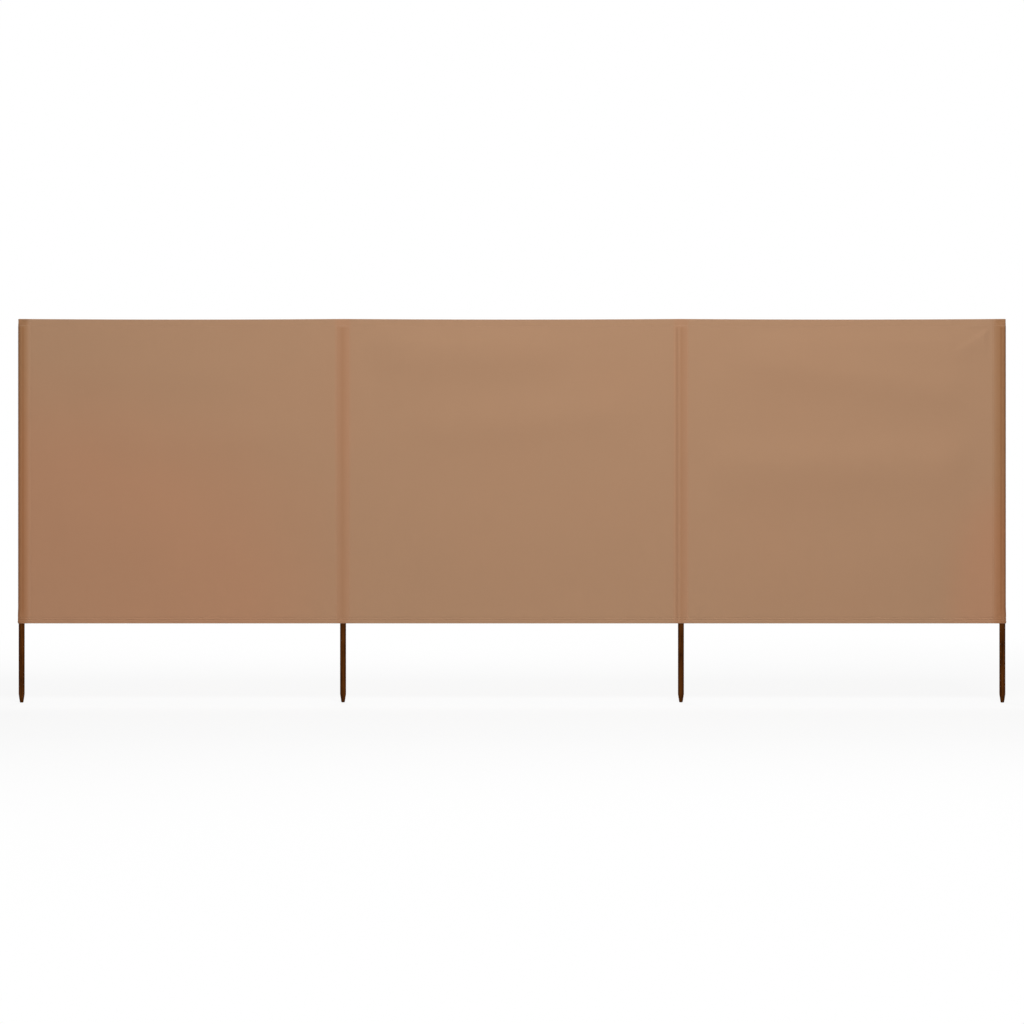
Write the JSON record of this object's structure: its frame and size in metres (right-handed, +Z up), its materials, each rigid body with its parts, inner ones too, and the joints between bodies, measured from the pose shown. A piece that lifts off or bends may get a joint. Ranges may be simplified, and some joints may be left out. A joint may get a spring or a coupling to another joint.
{
  "type": "beach windbreak",
  "caption": "Beach windbreak of plain woven cloth in bays, on round pointed wooden poles held in sewn sleeves and pockets; the outer bays fold about the inner poles.",
  "frame": {"origin": "centre of the flat tip of the left inner pole", "axes": "+X along the cloth to the right as seen from the front, +Y behind the cloth, +Z up the poles"},
  "size_m": [3.9496, 0.0389, 1.5343],
  "materials": {
    "cloth": "plain woven polyester, matt brown",
    "pole_wood": "dark brown stain, satin"
  },
  "bodies": {
    "middle_bay": {"middle_panel": "cloth", "middle_top_hem": "cloth", "middle_bottom_hem": "cloth", "left_inner_pole": "pole_wood", "right_inner_pole": "pole_wood", "left_inner_pocket": "cloth", "right_inner_pocket": "cloth"},
    "left_bay": {"left_panel": "cloth", "left_top_hem": "cloth", "left_bottom_hem": "cloth", "left_end_sleeve": "cloth", "left_end_pole": "pole_wood"},
    "right_bay": {"right_panel": "cloth", "right_top_hem": "cloth", "right_bottom_hem": "cloth", "right_end_sleeve": "cloth", "right_end_pole": "pole_wood"}
  },
  "joints": [
    {"name": "left_bay_fold", "type": "hinge", "parent": "middle_bay", "child": "left_bay", "pos_m": [0, 0, 0.9], "axis": [0, 0, 1], "range_deg": [-115, 115]},
    {"name": "right_bay_fold", "type": "hinge", "parent": "middle_bay", "child": "right_bay", "pos_m": [1.353, 0, 0.9], "axis": [0, 0, -1], "range_deg": [-115, 115]}
  ]
}
